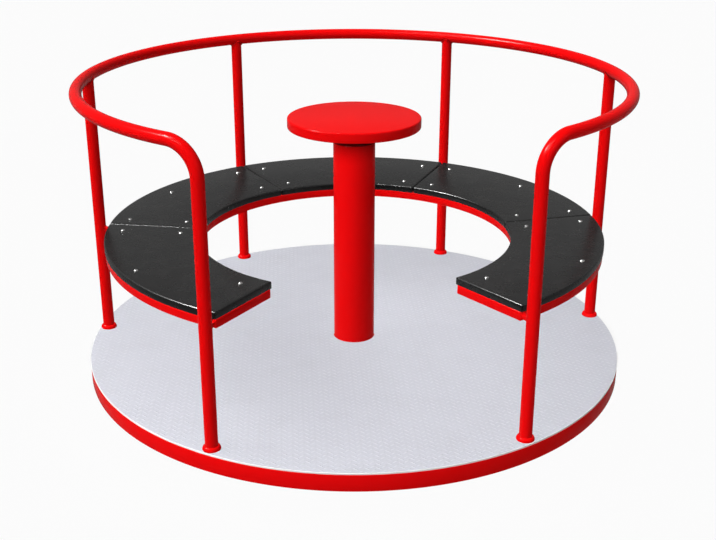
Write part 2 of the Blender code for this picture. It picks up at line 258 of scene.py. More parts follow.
def redPaint():
    look = redPaintLook
    material, tree, shader = newMaterial("redPaint", Specular_IOR_Level=0.045)
    dusty = dusted(tree, look, toned(tree, look, look["color"]))
    # painted shade: the paint is darkened where it turns into a corner, high up under the hand
    # wheel
    paintedShadeOcclusion = addNode(tree, "ShaderNodeAmbientOcclusion", {"Distance": look["paintedShadeReach"]},
                   samples=look["paintedShadeSamples"])
    clear = remap(tree, paintedShadeOcclusion.outputs["AO"], *look["paintedShadeRange"], look["paintedShadeDepth"], 1.0)
    height = heightOf(tree, objectPlace(tree))
    value = remap(tree, height, look["paintedShadeLow"], look["paintedShadeLow"] + look["paintedShadeFade"], 1.0, clear)
    shaded = addNode(tree, "ShaderNodeHueSaturation", {"Color": dusty, "Value": value}).outputs[0]
    # what it throws on its neighbours is kept pale, so that deck and boards stay a neutral grey
    path = addNode(tree, "ShaderNodeLightPath").outputs
    mirrored = mixColors(tree, path["Is Glossy Ray"], shaded, look["mirrored"])
    tree.links.new(mixColors(tree, path["Is Diffuse Ray"], mirrored, look["bounce"]),
                   shader.inputs["Base Color"])
    giveSkin(tree, shader, look)
    return material


treadPlateLook = {
    "color": (0.67, 0.675, 0.742, 1.0), "toneAmount": 0.05, "toneScale": 7.0,
    "roughness": 0.50, "roughnessSwing": 0.16, "roughnessScale": 16.0,
    "pitch": (0.027, 0.0185, 1.0), "halfSize": (0.0094, 0.0022, 1.0), "turn": math.radians(42.0),
    "studHeight": 0.0015, "wornScale": 38.0, "wornRange": (0.38, 0.62), "wornLeast": 0.25,
    "polish": 0.38, "polishColor": (0.92, 0.92, 0.96, 1.0), "polishSmooth": 0.12,
    "grainHeight": 0.00025, "grainStretch": (60.0, 900.0, 60.0), "bounce": (0.26, 0.26, 0.27, 1.0),
    # the edge colour is bare metal with a painted highlight on it
    "edgeWidth": 0.0022, "bareEdgeHighlightColor": white,
    "dustColor": (0.58, 0.58, 0.63, 1.0), "dustAmount": 0.25, "dustScale": 9.0,
}


def treadPlate():
    look = treadPlateLook
    material, tree, shader = newMaterial("treadPlate", Metallic=0.06, Specular_IOR_Level=0.16)
    dusty = dusted(tree, look, toned(tree, look, look["color"]))
    one = useGroup(tree, studs, {"Pitch": look["pitch"], "Turn": look["turn"],
                                 "Half Size": look["halfSize"]})["Height"]
    other = useGroup(tree, studs, {"Pitch": look["pitch"], "Turn": -look["turn"],
                                   "Half Size": look["halfSize"],
                                   "Shift": (0.5, 0.5, 0.0)})["Height"]
    # the studs are worn down unevenly
    worn = remap(tree, objectNoise(tree, look["wornScale"], detail=2.0), *look["wornRange"],
                 look["wornLeast"], 1.0)
    rise = maths(tree, "MULTIPLY", maths(tree, "MAXIMUM", one, other), worn)
    polished = mixColors(tree, maths(tree, "MULTIPLY", rise, look["polish"]), dusty,
                         look["polishColor"])
    # bare metal along the cut edge of the plate, painted white, which is partly a painted highlight
    flat = vectorMaths(tree, "MULTIPLY", objectPlace(tree), (1.0, 1.0, 0.0))
    away = vectorMaths(tree, "LENGTH", flat, result="Value")
    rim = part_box("deck_plate")[1].x
    bareEdgeAndHighlight = remap(tree, away, rim - look["edgeWidth"], rim - look["edgeWidth"] * 0.5)
    edged = mixColors(tree, bareEdgeAndHighlight, polished, look["bareEdgeHighlightColor"])
    # what it throws on its neighbours is a darker, plain grey
    path = addNode(tree, "ShaderNodeLightPath").outputs
    thrown = maths(tree, "MAXIMUM", path["Is Diffuse Ray"], path["Is Glossy Ray"])
    tree.links.new(mixColors(tree, thrown, edged, look["bounce"]), shader.inputs["Base Color"])
    smoother = maths(tree, "MULTIPLY", rise, look["polishSmooth"])
    tree.links.new(maths(tree, "SUBTRACT", wandering(tree, look), smoother),
                   shader.inputs["Roughness"])
    onTop = remap(tree, upwardFacing(tree), 0.80, 0.98)
    grain = objectNoise(tree, 1.0, detail=2.0, stretch=look["grainStretch"])
    grainBump = addNode(tree, "ShaderNodeBump", {"Height": grain, "Distance": look["grainHeight"]})
    studBump = addNode(tree, "ShaderNodeBump",
                       {"Height": maths(tree, "MULTIPLY", rise, onTop),
                        "Distance": look["studHeight"], "Normal": grainBump.outputs[0]})
    tree.links.new(studBump.outputs[0], shader.inputs["Normal"])
    return material


seatBoardLook = {
    "color": (0.015, 0.015, 0.015, 1.0), "toneAmount": 0.20, "toneScale": 8.0,
    "roughness": 0.27, "roughnessSwing": 0.10, "roughnessScale": 18.0,
    # the next colour and range make the painted shade on the upright sides
    "paintedShadeSideColor": (0.001, 0.001, 0.001, 1.0), "paintedShadeSideRange": (0.25, 0.05),
    "peelScale": 900.0, "peelDepth": 0.00002,
    "streakStretch": (9.0, 140.0, 9.0), "scuffRange": (0.66, 0.80),
    "scuffColor": (0.05, 0.05, 0.052, 1.0), "scuffAmount": 0.18,
    "dustColor": (0.10, 0.095, 0.09, 1.0), "dustAmount": 0.08, "dustScale": 22.0,
}


def seatBoard():
    look = seatBoardLook
    material, tree, shader = newMaterial("seatBoard", Specular_IOR_Level=0.5)
    base = toned(tree, look, look["color"])
    streaks = objectNoise(tree, 1.0, detail=4.0, roughness=0.7, stretch=look["streakStretch"])
    scuffs = remap(tree, streaks, *look["scuffRange"], 0.0, look["scuffAmount"])
    dusty = dusted(tree, look, mixColors(tree, scuffs, base, look["scuffColor"]))
    # painted shade: the upright sides of the boards are darkened to near black
    paintedShadeOnSide = remap(tree, maths(tree, "ABSOLUTE", upwardFacing(tree)), *look["paintedShadeSideRange"])
    tree.links.new(mixColors(tree, paintedShadeOnSide, dusty, look["paintedShadeSideColor"]), shader.inputs["Base Color"])
    giveSkin(tree, shader, look)
    return material


zincLook = {
    "color": (0.56, 0.57, 0.59, 1.0), "pale": (0.70, 0.71, 0.72, 1.0), "spangle": 90.0,
    "toneAmount": 0.15, "toneScale": 12.0,
    "roughness": 0.42, "roughnessSwing": 0.20, "roughnessScale": 30.0,
    "peelScale": 160.0, "peelDepth": 0.00006,
}


def zinc():
    look = zincLook
    material, tree, shader = newMaterial("zinc", Metallic=0.9)
    flakes = addNode(tree, "ShaderNodeTexVoronoi",
                     {"Vector": objectPlace(tree), "Scale": look["spangle"]})
    cell = addNode(tree, "ShaderNodeSeparateColor", {0: flakes.outputs["Color"]}).outputs[0]
    base = mixColors(tree, cell, look["color"], look["pale"])
    tree.links.new(toned(tree, look, base), shader.inputs["Base Color"])
    giveSkin(tree, shader, look)
    return material


boltSteelLook = {
    "color": (0.78, 0.78, 0.77, 1.0), "toneAmount": 0.2, "toneScale": 60.0,
    "roughness": 0.30, "roughnessSwing": 0.2, "roughnessScale": 180.0,
    "peelScale": 1500.0, "peelDepth": 0.00001,
}


def boltSteel():
    look = boltSteelLook
    material, tree, shader = newMaterial("boltSteel", Metallic=1.0)
    tree.links.new(toned(tree, look, look["color"]), shader.inputs["Base Color"])
    giveSkin(tree, shader, look)
    return material


materials = {
    "red_paint": redPaint(), "tread_plate": treadPlate(), "seat_board": seatBoard(),
    "zinc": zinc(), "bolt": boltSteel(),
}
print("materials built")


# Mesh building

def spot(radius, angle, height):
    return Vector((radius * math.cos(angle), radius * math.sin(angle), height))


def middle(node):
    low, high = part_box(node)
    return (low + high) / 2


weldDistance = 0.000004


def finishPiece(bm, name, slot, body, nodes=(), material=None, sharp=38.0):
    bmesh.ops.remove_doubles(bm, verts=bm.verts, dist=weldDistance)
    bmesh.ops.dissolve_degenerate(bm, edges=bm.edges, dist=weldDistance)
    bmesh.ops.recalc_face_normals(bm, faces=bm.faces)
    mesh = bpy.data.meshes.new(name)
    bm.to_mesh(mesh)
    bm.free()
    mesh.shade_smooth()
    mesh.set_sharp_from_angle(angle=math.radians(sharp))
    mesh.materials.append(materials[material or slot])
    piece = bpy.data.objects.new(name, mesh)
    bpy.context.scene.collection.objects.link(piece)
    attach(piece, body)
    if nodes:
        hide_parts(*nodes)


def outlineFace(corners, segments=4):
    # a face in the XZ plane; every corner is radius, height and its own rounding
    bm = bmesh.new()
    made = [bm.verts.new((radius, 0.0, height)) for radius, height, rounding in corners]
    bm.faces.new(made)
    for vert, (radius, height, rounding) in zip(made, corners):
        if rounding:
            bmesh.ops.bevel(bm, geom=[vert], offset=rounding, offset_type="OFFSET",
                            segments=segments, profile=0.5, affect="VERTICES", material=-1)
    return bm


def turnFull(bm, steps):
    bmesh.ops.delete(bm, geom=bm.faces[:], context="FACES_ONLY")
    onAxis = [edge for edge in bm.edges if max(abs(vert.co.x) for vert in edge.verts) < 1e-6]
    bmesh.ops.delete(bm, geom=onAxis, context="EDGES")
    bmesh.ops.spin(bm, geom=bm.verts[:] + bm.edges[:], cent=origin, axis=upAxis, dvec=origin,
                   angle=2 * math.pi, steps=steps, use_merge=True, use_duplicate=False)
    return bm


def turnPart(bm, start, end, steps):
    bmesh.ops.rotate(bm, verts=bm.verts, cent=origin, matrix=Matrix.Rotation(start, 3, "Z"))
    bmesh.ops.spin(bm, geom=bm.verts[:] + bm.edges[:] + bm.faces[:], cent=origin, axis=upAxis,
                   dvec=origin, angle=end - start, steps=steps, use_merge=False,
                   use_duplicate=False)
    return bm


def isSharp(edge):
    return len(edge.link_faces) == 2 and edge.calc_face_angle() > math.radians(50)


def roundEdges(bm, wanted, offset, segments):
    edges = [edge for edge in bm.edges if isSharp(edge) and wanted(edge)]
    bmesh.ops.bevel(bm, geom=edges, offset=offset, offset_type="OFFSET", segments=segments,
                    profile=0.5, affect="EDGES", material=-1)


def isUpright(edge):
    return abs(edge.verts[0].co.z - edge.verts[1].co.z) > 0.01


def isLong(edge, least=0.1):
    return abs(edge.verts[0].co.x - edge.verts[1].co.x) > least


def newBar(length, width, height):
    bm = bmesh.new()
    bmesh.ops.create_cube(bm, size=1.0, matrix=Matrix.Diagonal((length, width, height, 1.0)))
    return bm


def ringCorners(inner, outer, bottom, top, rounding):
    return [(outer, top, rounding), (outer, bottom, rounding), (inner, bottom, rounding),
            (inner, top, rounding)]


def stations(path, closed=False):
    # a place and a heading for every point of a path, with as little twist as the path allows
    count = len(path)
    headings = []
    for index in range(count):
        before = path[(index - 1) % count] if closed or index else path[0]
        after = path[(index + 1) % count] if closed or index < count - 1 else path[-1]
        headings.append((after - before).normalized())
    turn = headings[0].to_track_quat("Z", "Y")
    matrices = []
    for index in range(count):
        if index:
            turn = headings[index - 1].rotation_difference(headings[index]) @ turn
        matrices.append(Matrix.Translation(path[index]) @ turn.to_matrix().to_4x4())
    return matrices


def sweepRound(bm, path, radii, sides, closed=False):
    # a ring of vertices is carried along the path and leaves a skin behind it
    places = stations(path, closed)
    sizes = radii if isinstance(radii, list) else [radii] * len(path)
    places = [place @ Matrix.Scale(size, 4) for place, size in zip(places, sizes)]
    circle = bmesh.ops.create_circle(bm, cap_ends=False, segments=sides, radius=1.0,
                                     matrix=places[0])
    ring = list({edge for vert in circle["verts"] for edge in vert.link_edges})
    first = ring
    for before, after in zip(places, places[1:]):
        grown = bmesh.ops.extrude_edge_only(bm, edges=ring)["geom"]
        fresh = [item for item in grown if isinstance(item, bmesh.types.BMVert)]
        bmesh.ops.transform(bm, matrix=after @ before.inverted(), verts=fresh)
        members = set(fresh)
        ring = [item for item in grown if isinstance(item, bmesh.types.BMEdge)
                and members.issuperset(item.verts)]
    if closed:
        bmesh.ops.bridge_loops(bm, edges=first + ring)
    else:
        bmesh.ops.holes_fill(bm, edges=first, sides=0)
        bmesh.ops.holes_fill(bm, edges=ring, sides=0)


weldLook = {"ripple": 0.0042, "swelling": 0.13, "step": 0.0011, "sides": 8, "ringPoints": 96}


def beadRadii(path, radius):
    # the scales of a weld, one swelling for every ripple's length
    sizes = []
    along = 0.0
    for index, point in enumerate(path):
        if index:
            along += (point - path[index - 1]).length
        wave = math.sin(2 * math.pi * along / weldLook["ripple"])
        sizes.append(radius * (1.0 + weldLook["swelling"] * wave))
    return sizes


def weldAlong(bm, points, radius, closed=False):
    # resampled so that the ripples show
    loop = points + [points[0]] if closed else points
    path = []
    for start, end in zip(loop, loop[1:]):
        parts = max(1, round((end - start).length / weldLook["step"]))
        path += [start.lerp(end, part / parts) for part in range(parts)]
    if not closed:
        path.append(loop[-1])
    sweepRound(bm, path, beadRadii(path, radius), weldLook["sides"], closed)


def ringPath(radius, height):
    count = weldLook["ringPoints"]
    return [spot(radius, 2 * math.pi * step / count, height) for step in range(count)]


def turnedPiece(corners, segments, steps, *labels):
    # a profile turned round the axis; the labels are those of finishPiece
    finishPiece(turnFull(outlineFace(corners, segments), steps), *labels)


# Layout, read from the frame

postNames = ("front_left", "left", "back_left", "back_right", "right", "front_right")
postFeet = {name: middle("foot_collar_" + name) for name in postNames}
postAngles = {name: math.atan2(foot.y, foot.x) % (2 * math.pi)
              for name, foot in postFeet.items()}
railCircle = math.hypot(postFeet["left"].x, postFeet["left"].y)
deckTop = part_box("deck_plate")[1].z
tubeRadius = (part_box("rail_back")[1].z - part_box("rail_back")[0].z) / 2
railHeight = middle("rail_back").z

# keeps neighbours from sharing a face
fitGap = 0.0003

railing = {"bend": 0.080, "bendSteps": 26, "arcStep": math.radians(1.5), "sides": 40,
           "footGap": 0.0004, "postStep": 0.16}


# Railing

def railPath():
    # from the left foot up, round the back and down to the right foot
    start = postAngles["front_left"]
    end = postAngles["front_right"] - 2 * math.pi
    bend = railing["bend"]
    steps = railing["bendSteps"]

    def rise(angle, turn):
        path = [spot(railCircle, angle, deckTop + railing["footGap"])]
        path += [spot(railCircle, angle, deckTop + railing["postStep"] * part)
                 for part in range(1, 5)]
        for step in range(steps + 1):
            swing = math.pi / 2 * step / steps
            height = railHeight - bend * (1.0 - math.sin(swing))
            travel = bend * (1.0 - math.cos(swing)) / railCircle
            path.append(spot(railCircle, angle + turn * travel, height))
        return path, angle + turn * travel

    left, leaveAngle = rise(start, -1.0)
    right, reachAngle = rise(end, 1.0)
    count = math.ceil((leaveAngle - reachAngle) / railing["arcStep"])
    arc = [spot(railCircle, leaveAngle + (reachAngle - leaveAngle) * step / count, railHeight)
           for step in range(1, count)]
    return left + arc + right[::-1]


def buildRailing():
    bm = bmesh.new()
    sweepRound(bm, railPath(), tubeRadius, railing["sides"])
    finishPiece(bm, "handrail", "red_paint", "platform",
                ("rail_side_left", "rail_back_left", "rail_back", "rail_back_right",
                 "rail_side_right", "front_post_left", "front_post_right"))
    for name in postNames[1:5]:
        bm = bmesh.new()
        angle = postAngles[name]
        foot = spot(railCircle, angle, deckTop + railing["footGap"])
        head = spot(railCircle, angle, railHeight)
        line = [foot.lerp(head, part / 4) for part in range(5)]
        sweepRound(bm, line, tubeRadius, railing["sides"])
        finishPiece(bm, "post_tube_" + name, "red_paint", "platform", ("post_" + name,))


railWeldLook = {"points": 72, "radius": 0.0021, "outward": 1.02, "sideways": 1.04,
                "softening": 0.000006, "sink": 0.0008}


def buildRailWelds():
    # a bead follows the saddle where each straight post meets the underside of the rail
    look = railWeldLook
    bm = bmesh.new()
    for name in postNames[1:5]:
        angle = postAngles[name]
        out = spot(1.0, angle, 0.0)
        side = spot(1.0, angle + math.pi / 2, 0.0)
        points = []
        for step in range(look["points"]):
            swing = 2 * math.pi * step / look["points"]
            across = tubeRadius * math.cos(swing)
            along = tubeRadius * math.sin(swing)
            drop = math.sqrt(along * along + look["softening"])
            sag = along * along / 2 / railCircle
            place = (out * (railCircle + across * look["outward"] - sag)
                     + side * along * look["sideways"])
            points.append(place + Vector((0, 0, railHeight - drop - look["sink"])))
        weldAlong(bm, points, look["radius"], closed=True)
    finishPiece(bm, "rail_welds", "red_paint", "platform")


collarLook = {"height": 0.0102, "topWall": 0.0007, "lip": 0.0026, "edge": 0.0006, "gap": 0.0002,
              "coveReach": 0.8, "coveRise": 1.15, "coveSteps": 9, "steps": 48}


def buildCollars():
    # a flared cup that closes the joint between post and deck
    look = collarLook
    for name in postNames:
        node = "foot_collar_" + name
        low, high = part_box(node)
        outer = (high.x - low.x) / 2
        bottom = low.z
        top = bottom + look["height"]
        inner = tubeRadius + look["gap"]
        lip, edge = look["lip"], look["edge"]
        corners = [(inner, bottom), (outer - edge, bottom), (outer, bottom + edge),
                   (outer, bottom + lip)]
        reach = outer - inner - look["topWall"]
        for step in range(1, look["coveSteps"] + 1):
            swing = math.pi / 2 * step / look["coveSteps"]
            inward = (1.0 - math.cos(swing)) ** look["coveReach"]
            upward = math.sin(swing) ** look["coveRise"]
            corners.append((outer - reach * inward, bottom + lip + (top - bottom - lip) * upward))
        corners.append((inner, top))
        bm = bmesh.new()
        made = [bm.verts.new((radius, 0.0, height)) for radius, height in corners]
        bm.faces.new(made)
        turnFull(bm, look["steps"])
        bmesh.ops.translate(bm, verts=bm.verts, vec=(postFeet[name].x, postFeet[name].y, 0.0))
        finishPiece(bm, "collar_" + name, "red_paint", "platform", (node,))


buildRailing()
buildRailWelds()
buildCollars()
print("railing built")


# Deck

deckLook = {"edge": 0.0009, "boreGap": 0.0016, "steps": 288, "bandWall": 0.0045,
            "bandEdge": 0.0012, "seamRadius": 0.0011, "seamOut": 0.7, "seamEnd": 0.003}


def buildDeck():
    look = deckLook
    low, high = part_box("deck_plate")
    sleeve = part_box("column_sleeve")[1].x
    corners = ringCorners(sleeve + look["boreGap"], high.x, low.z, high.z, look["edge"])
    turnedPiece(corners, 3, look["steps"], "tread_deck", "tread_plate", "platform", ("deck_plate",))

    low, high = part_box("rim_band")
    corners = ringCorners(high.x - look["bandWall"], high.x, low.z, high.z, look["bandEdge"])
    turnedPiece(corners, 3, look["steps"], "edge_band", "red_paint", "platform", ("rim_band",))

    bm = bmesh.new()
    seam = [spot(high.x - look["seamRadius"] * look["seamOut"], math.pi / 2, height)
            for height in (low.z + look["seamEnd"], high.z - look["seamEnd"])]
    weldAlong(bm, seam, look["seamRadius"])
    finishPiece(bm, "band_seam", "red_paint", "platform")


columnLook = {"wall": 0.0075, "topRounding": 0.0022, "bottomRounding": 0.001, "steps": 128,
              "hubEdge": 0.0015, "weldOut": 0.0014, "weldDrop": 0.0002, "weldRadius": 0.0026}


def buildColumn():
    look = columnLook
    low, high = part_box("column_sleeve")
    outer = high.x
    inner = outer - look["wall"]
    above, below = look["topRounding"], look["bottomRounding"]
    corners = [(outer, high.z, above), (outer, low.z, below), (inner, low.z, below),
               (inner, high.z, above)]
    turnedPiece(corners, 5, look["steps"], "column", "red_paint", "platform", ("column_sleeve",))

    low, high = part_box("hub_ring")
    corners = ringCorners(outer + fitGap, high.x, low.z, high.z, look["hubEdge"])
    turnedPiece(corners, 3, look["steps"], "hub", "red_paint", "platform", ("hub_ring",))

    bm = bmesh.new()
    loop = ringPath(outer + look["weldOut"], low.z - look["weldDrop"])
    weldAlong(bm, loop, look["weldRadius"], closed=True)
    finishPiece(bm, "hub_weld", "red_paint", "platform")


spokeLook = {"width": 0.040, "edge": 0.0035, "rimGap": 0.0010, "weld": 0.0024,
             "weldBelow": 0.003, "weldAbove": 0.002, "hubWeldIn": 0.0012, "rimWeldOut": 0.0004}


def buildSpokes():
    look = spokeLook
    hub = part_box("hub_ring")[1].x
    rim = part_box("rim_band")[1].x - deckLook["bandWall"]
    low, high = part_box("spoke_left")
    welds = bmesh.new()
    half = look["width"] / 2
    corner, lift = look["weldBelow"], look["weldAbove"]
    start, end = hub + fitGap, rim - look["rimGap"]
    for name in postNames:
        turn = Matrix.Rotation(postAngles[name], 4, "Z")
        bm = newBar(end - start, half * 2, high.z - low.z)
        roundEdges(bm, isLong, look["edge"], 4)
        centre = Matrix.Translation(((start + end) / 2, 0.0, (low.z + high.z) / 2))
        bmesh.ops.transform(bm, matrix=turn @ centre, verts=bm.verts)
        finishPiece(bm, "spoke_tube_" + name, "red_paint", "platform", ("spoke_" + name,))
        for radius in (start - look["hubWeldIn"], end + look["rimWeldOut"]):
            loop = [(-half, high.z - corner), (-half, low.z + lift), (-half + corner, low.z),
                    (half - corner, low.z), (half, low.z + lift), (half, high.z - corner)]
            points = []
            for across, height in loop:
                away = math.sqrt(radius * radius - across * across)
                points.append(turn @ Vector((away, across, height)))
            weldAlong(welds, points, look["weld"])
    finishPiece(welds, "spoke_welds", "red_paint", "platform")


buildDeck()
buildColumn()
buildSpokes()
print("deck built")


# Seat

seatLook = {
    "jointCentre": Vector((0.0, -0.09, 0.0)), "openingCentre": Vector((0.0, -0.045, 0.0)),
    "middle": 0.56, "end": math.radians(-54.5), "side": math.radians(10.9),
    "back": math.radians(64.4),
    "inner": 0.4274, "outer": 0.6868, "joint": 0.0038, "arcStep": math.radians(1.6),
    "topEdge": 0.0034, "bottomEdge": 0.0014, "cornerEdge": 0.0035,
}
jointTurns = {"right": seatLook["side"], "back_right": seatLook["back"],
              "back_left": math.pi - seatLook["back"], "left": math.pi - seatLook["side"]}
boards = (("seat_front_left", "left", None), ("seat_back_left", "back_left", "left"),
          ("seat_back", "back_right", "back_left"), ("seat_back_right", "right", "back_right"),
          ("seat_front_right", None, "right"))


def reachTo(start, turn, radius, centre=None):
    # how far it is from a place, in one direction, to a circle of the seats
    if centre is None:
        isInner = radius < seatLook["middle"]
        centre = seatLook["openingCentre"] if isInner else Vector(origin)
    offset = start - centre
    half = offset.dot(spot(1.0, turn, 0.0))
    return math.sqrt(half * half - offset.length_squared + radius * radius) - half


def seatPoint(radius, turn, height):
    centre = seatLook["jointCentre"]
    return centre + spot(reachTo(centre, turn, radius), turn, height)


def toSeat(bm):
    # a plain ring round the axis takes on the shape of the seats
    for vert in bm.verts:
        vert.co = seatPoint(vert.co.xy.length, math.atan2(vert.co.y, vert.co.x), vert.co.z)
    bmesh.ops.recalc_face_normals(bm, faces=bm.faces)
    return bm


def boardSpan(start, end):
    # the two end directions of a board; None is the open end of the ring
    joint = seatLook["joint"] / 2 / seatLook["outer"]
    first = seatLook["end"] if start is None else jointTurns[start] + joint
    last = math.pi - seatLook["end"] if end is None else jointTurns[end] - joint
    return first, last


def buildBoards():
    look = seatLook
    for node, start, end in boards:
        low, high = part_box(node)
        first, last = boardSpan(start, end)
        corners = ringCorners(look["inner"], look["outer"], low.z, high.z, 0.0)
        steps = math.ceil((last - first) / look["arcStep"])
        bm = toSeat(turnPart(outlineFace(corners), first, last, steps))
        top, bottom = high.z, low.z
        roundEdges(bm, isUpright, look["cornerEdge"], 4)
        roundEdges(bm, lambda edge: min(vert.co.z for vert in edge.verts) > top - 1e-5,
                   look["topEdge"], 4)
        roundEdges(bm, lambda edge: max(vert.co.z for vert in edge.verts) < bottom + 1e-5,
                   look["bottomEdge"], 2)
        finishPiece(bm, node + "_board", "seat_board", "platform", (node,))


frameLook = {"outer": 0.6848, "inner": 0.4311, "wall": 0.005, "outerShelf": 0.0705,
             "innerShelf": 0.065, "edge": 0.0012, "trimReach": 0.25,
             "endWidth": 0.025, "endEdge": 0.0045,
             "crossWidth": 0.040, "crossEdge": 0.003, "crossGap": 0.0009}


def trimEnd(bm, point, normal, reach):
    near = {vert for vert in bm.verts if (vert.co - point).length < reach}
    items = list(near)
    items += [edge for edge in bm.edges if near.issuperset(edge.verts)]
    items += [face for face in bm.faces if near.issuperset(face.verts)]
    cut = bmesh.ops.bisect_plane(bm, geom=items, plane_co=point, plane_no=normal, clear_outer=True)
    edges = [item for item in cut["geom_cut"] if isinstance(item, bmesh.types.BMEdge)]
    bmesh.ops.holes_fill(bm, edges=edges, sides=0)


def crossBox(turn, inner, outer, sides, low, high):
    # a box between two circles of the seats, and the matrix that puts it there
    square = spot(1.0, turn + math.pi / 2, 0.0)
    edges = [seatLook["jointCentre"] + square * side for side in sides]
    near = max(reachTo(edge, turn, inner) for edge in edges)
    far = min(reachTo(edge, turn, outer) for edge in edges)
    bm = newBar(far - near, sides[1] - sides[0], high - low)
    centre = (edges[0] + edges[1]) / 2 + spot((near + far) / 2, turn, (low + high) / 2)
    return bm, Matrix.Translation(centre) @ Matrix.Rotation(turn, 4, "Z")


def buildSeatFrame():
    look = frameLook
    low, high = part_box("seat_frame_outer")
    bottom, top = low.z, high.z
    edge = look["edge"]
    wall = look["wall"]
    ends = ((seatLook["end"], -1.0, "right"), (math.pi - seatLook["end"], 1.0, "left"))
    angles = (("seat_frame_outer", look["outer"], look["outer"] - look["outerShelf"]),
              ("seat_frame_inner", look["inner"], look["inner"] + look["innerShelf"]))
    for node, upright, shelf in angles:
        inward = math.copysign(wall, shelf - upright)
        corners = [(upright, bottom, edge), (upright + inward, bottom, edge),
                   (upright + inward, top - wall, wall * 0.6), (shelf, top - wall, edge),
                   (shelf, top, edge), (upright, top, edge * 1.6)]
        start, finish = ends[0][0], ends[1][0]
        steps = math.ceil((finish - start) / seatLook["arcStep"])
        bm = toSeat(turnPart(outlineFace(corners, 3), start, finish, steps))
        for turn, side, _ in ends:
            square = spot(side, turn + math.pi / 2, 0.0)
            centre = (seatPoint(look["inner"], turn, top) + seatPoint(look["outer"], turn, top)) / 2
            trimEnd(bm, centre - square * (look["endWidth"] + fitGap), square, look["trimReach"])
        finishPiece(bm, node + "_angle", "red_paint", "platform", (node,))
    for turn, side, hand in ends:
        sides = (0.0, look["endWidth"]) if side < 0 else (-look["endWidth"], 0.0)
        bm, place = crossBox(turn, look["inner"] + fitGap, look["outer"] - fitGap, sides,
                             bottom, top)
        roundEdges(bm, lambda item: isUpright(item) and item.verts[0].co.x < 0, look["endEdge"], 5)
        roundEdges(bm, lambda item: True, edge, 3)
        bmesh.ops.transform(bm, matrix=place, verts=bm.verts)
        finishPiece(bm, "end_tube_" + hand, "red_paint", "platform", ("end_bar_" + hand,))
    half = look["crossWidth"] / 2
    for name, turn in jointTurns.items():
        node = "cross_bar_" + (name if name.startswith("back") else "side_" + name)
        low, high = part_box(node)
        bm, place = crossBox(turn, look["inner"] + wall + fitGap,
                             look["outer"] - wall - look["crossGap"], (-half, half), low.z, high.z)
        roundEdges(bm, isLong, look["crossEdge"], 4)
        bmesh.ops.transform(bm, matrix=place, verts=bm.verts)
        finishPiece(bm, "cross_tube_" + name, "red_paint", "platform", (node,))


lugLook = {"width": 0.012, "shift": 0.007, "edge": 0.0016, "overlap": 0.0006, "intoPost": 0.0005,
           "weld": 0.0019, "frameWeldOut": 0.0003, "postWeldIn": 0.0004}


def buildLugs():
    # short bars from the frame to the posts, welded at both ends
    look = lugLook
    outer = frameLook["outer"]
    half = look["width"] / 2
    welds = bmesh.new()
    for name in postNames:
        node = "lug_" + name
        low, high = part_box(node)
        shift = {"front_left": -look["shift"], "front_right": look["shift"]}.get(name, 0.0)
        turn = Matrix.Rotation(postAngles[name], 4, "Z")
        start = outer - look["overlap"]
        inPost = math.sqrt(tubeRadius ** 2 - (abs(shift) + half) ** 2)
        end = railCircle - inPost + look["intoPost"]
        bm = newBar(end - start, half * 2, high.z - low.z)
        roundEdges(bm, lambda item: isLong(item, 0.005), look["edge"], 3)
        centre = Matrix.Translation(((start + end) / 2, shift, (low.z + high.z) / 2))
        bmesh.ops.transform(bm, matrix=turn @ centre, verts=bm.verts)
        finishPiece(bm, "post_lug_" + name, "red_paint", "platform", (node,))
        steps = [part / 4 for part in range(-4, 5)]
        rim = [(shift + half * part, high.z) for part in steps]
        rim += [(shift - half * part, low.z) for part in steps]
        onFrame = [turn @ Vector((math.sqrt(outer ** 2 - across ** 2) + look["frameWeldOut"],
                                  across, height)) for across, height in rim]
        onPost = [turn @ Vector((railCircle - math.sqrt(tubeRadius ** 2 - across ** 2)
                                 - look["postWeldIn"], across, height)) for across, height in rim]
        weldAlong(welds, onFrame, look["weld"], closed=True)
        weldAlong(welds, onPost, look["weld"], closed=True)
    finishPiece(welds, "lug_welds", "red_paint", "platform")


# every row is a circle: its radius and its centre
boltLook = {"rows": ((0.640, Vector((0.0, -0.021, 0.0))), (0.479, Vector((0.0, -0.045, 0.0)))),
            "fromJoint": 0.045, "fromEnd": 0.057, "radius": 0.0056, "rise": 0.0032,
            "rim": 0.0007, "rings": 6, "steps": 20, "nut": (0.0062, 0.0050, 0.0080)}


def boltPlaces(start, end):
    first, last = boardSpan(start, end)
    lines = [(first, boltLook["fromEnd"] if start is None else boltLook["fromJoint"]),
             (last, -boltLook["fromEnd"] if end is None else -boltLook["fromJoint"])]
    pairs = [(row, line) for row in boltLook["rows"] for line in lines]
    pairs.append((boltLook["rows"][0], ((first + last) / 2, 0.0)))
    places = []
    for (radius, centre), (turn, side) in pairs:
        begin = seatLook["jointCentre"] + spot(side, turn + math.pi / 2, 0.0)
        places.append(begin + spot(reachTo(begin, turn, radius, centre), turn, 0.0))
    return places


def domeHead(look):
    # a low mushroom head that stands on z = 0
    bm = bmesh.new()
    radius, rim = look["radius"], look["rim"]
    corners = []
    for part in range(look["rings"] + 1):
        swing = math.pi / 2 * part / look["rings"]
        corners.append((radius * math.sin(swing), rim + (look["rise"] - rim) * math.cos(swing)))
    corners += [(radius, 0.0), (0.0, 0.0)]
    made = [bm.verts.new((across, 0.0, height)) for across, height in corners]
    for one, two in zip(made, made[1:]):
        bm.edges.new((one, two))
    return turnFull(bm, look["steps"])


nutLook = {"washerHeight": 0.0012, "washerSides": 20, "taper": 0.93, "threadSides": 14,
           "threadEnd": 0.42, "thread": 0.48, "threadHeight": 0.003}


